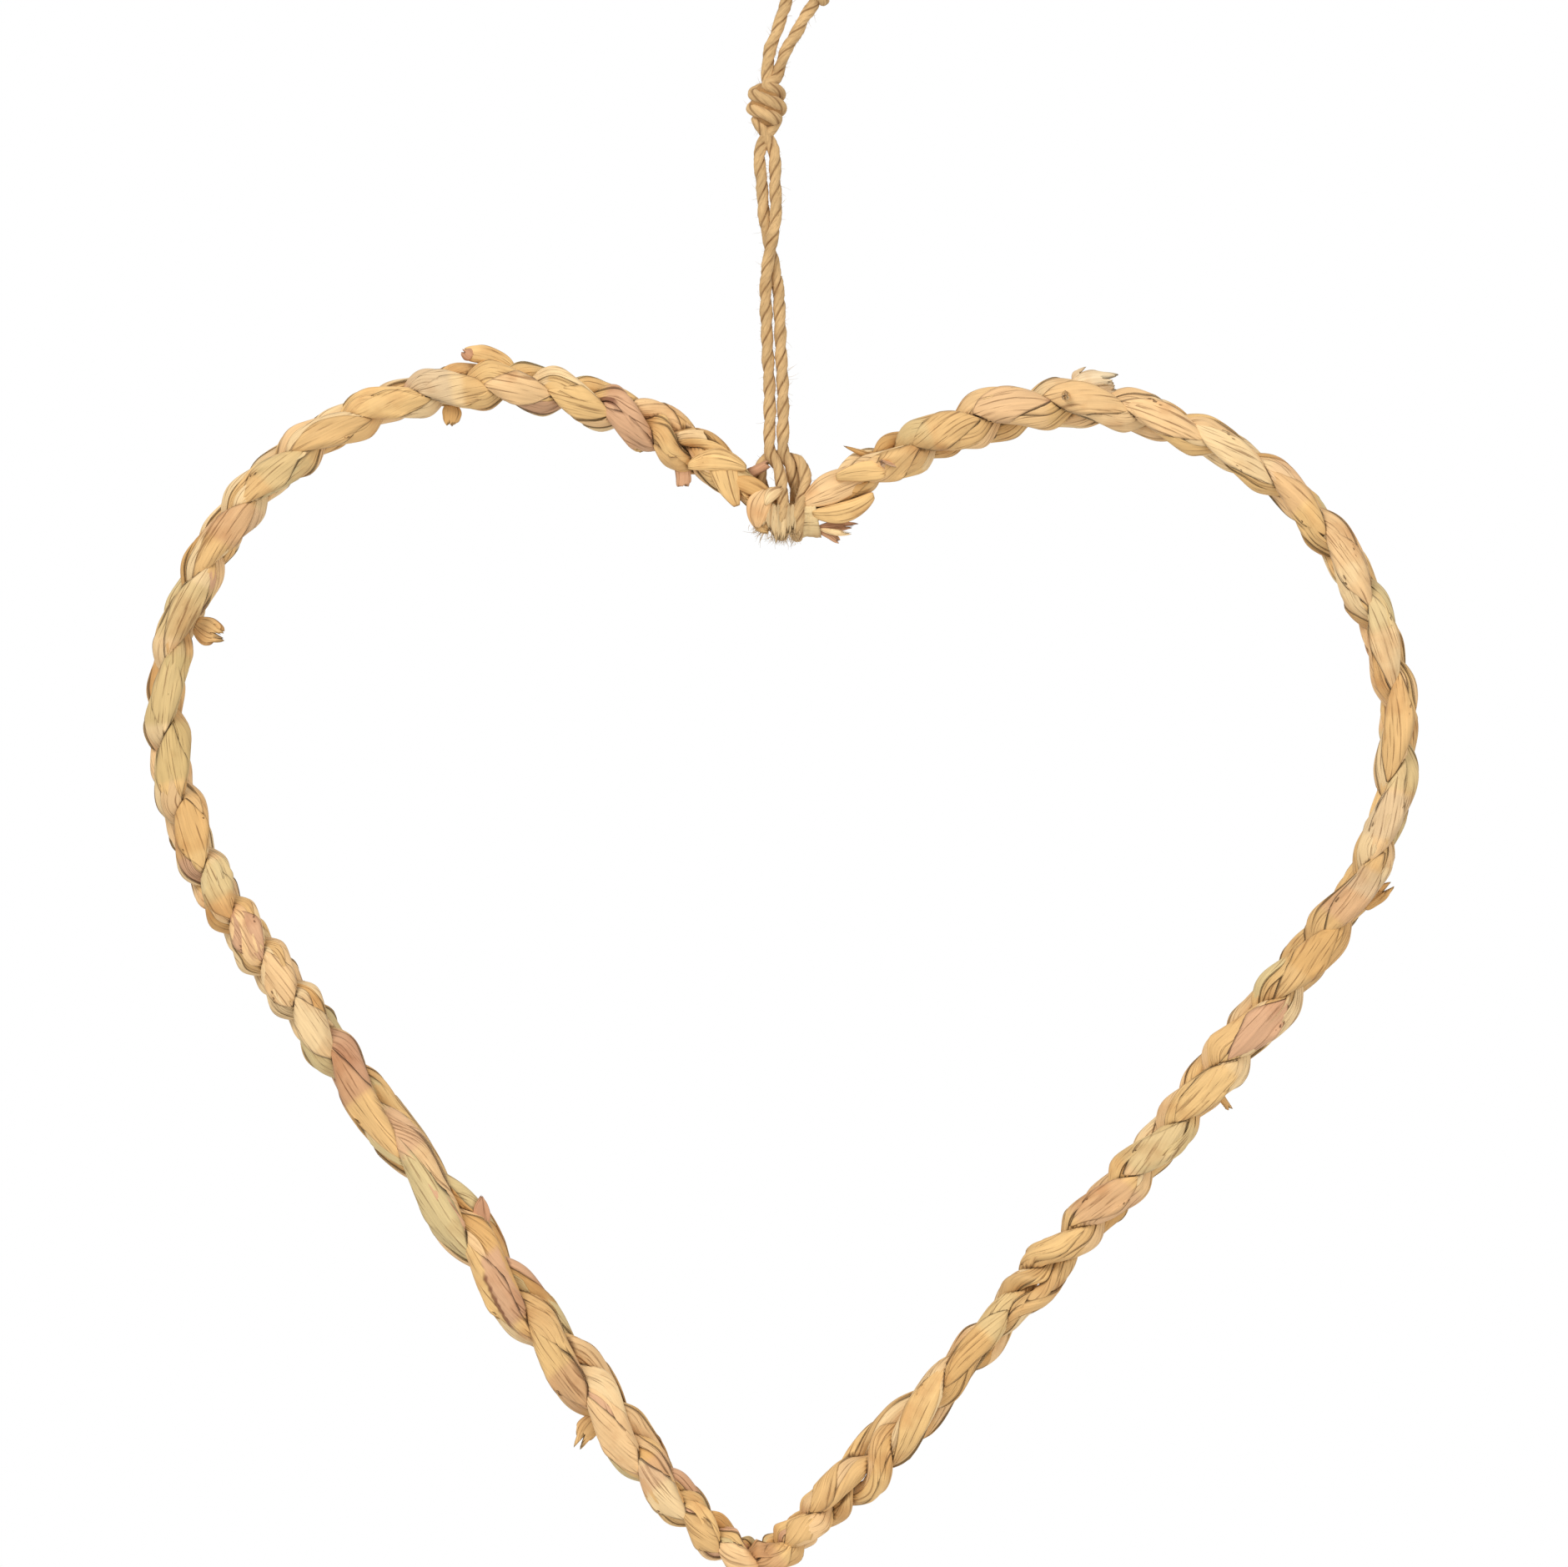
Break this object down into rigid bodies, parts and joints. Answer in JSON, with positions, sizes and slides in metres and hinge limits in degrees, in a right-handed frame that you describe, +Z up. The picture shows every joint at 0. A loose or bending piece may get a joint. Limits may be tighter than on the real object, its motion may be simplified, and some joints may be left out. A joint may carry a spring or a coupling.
{
  "type": "straw heart ornament",
  "caption": "Heart-shaped hanging ornament: a rounded three-strand plait of dried straw bent into an open heart, bound at the cleft and hung from a loop of knotted jute twine.",
  "frame": {"origin": "underside of the top of the twine loop, where a hook or nail carries the hanging ornament", "axes": "+Z up along the hanging twine, the front of the heart faces -Y, +X to the viewer's right"},
  "size_m": [0.2217, 0.0134, 0.3],
  "materials": {
    "straw": "matte dried leaf and straw with lengthwise grain, creases and faded green patches",
    "husk": "matte pale dried husk with fine lengthwise grain",
    "jute": "matte two-ply jute with loose fibres"
  },
  "bodies": {
    "root": {"straw_strand_a": "straw", "straw_strand_b": "straw", "straw_strand_c": "straw", "husk_binding": "husk", "hanging_twine": "jute"}
  },
  "joints": []
}
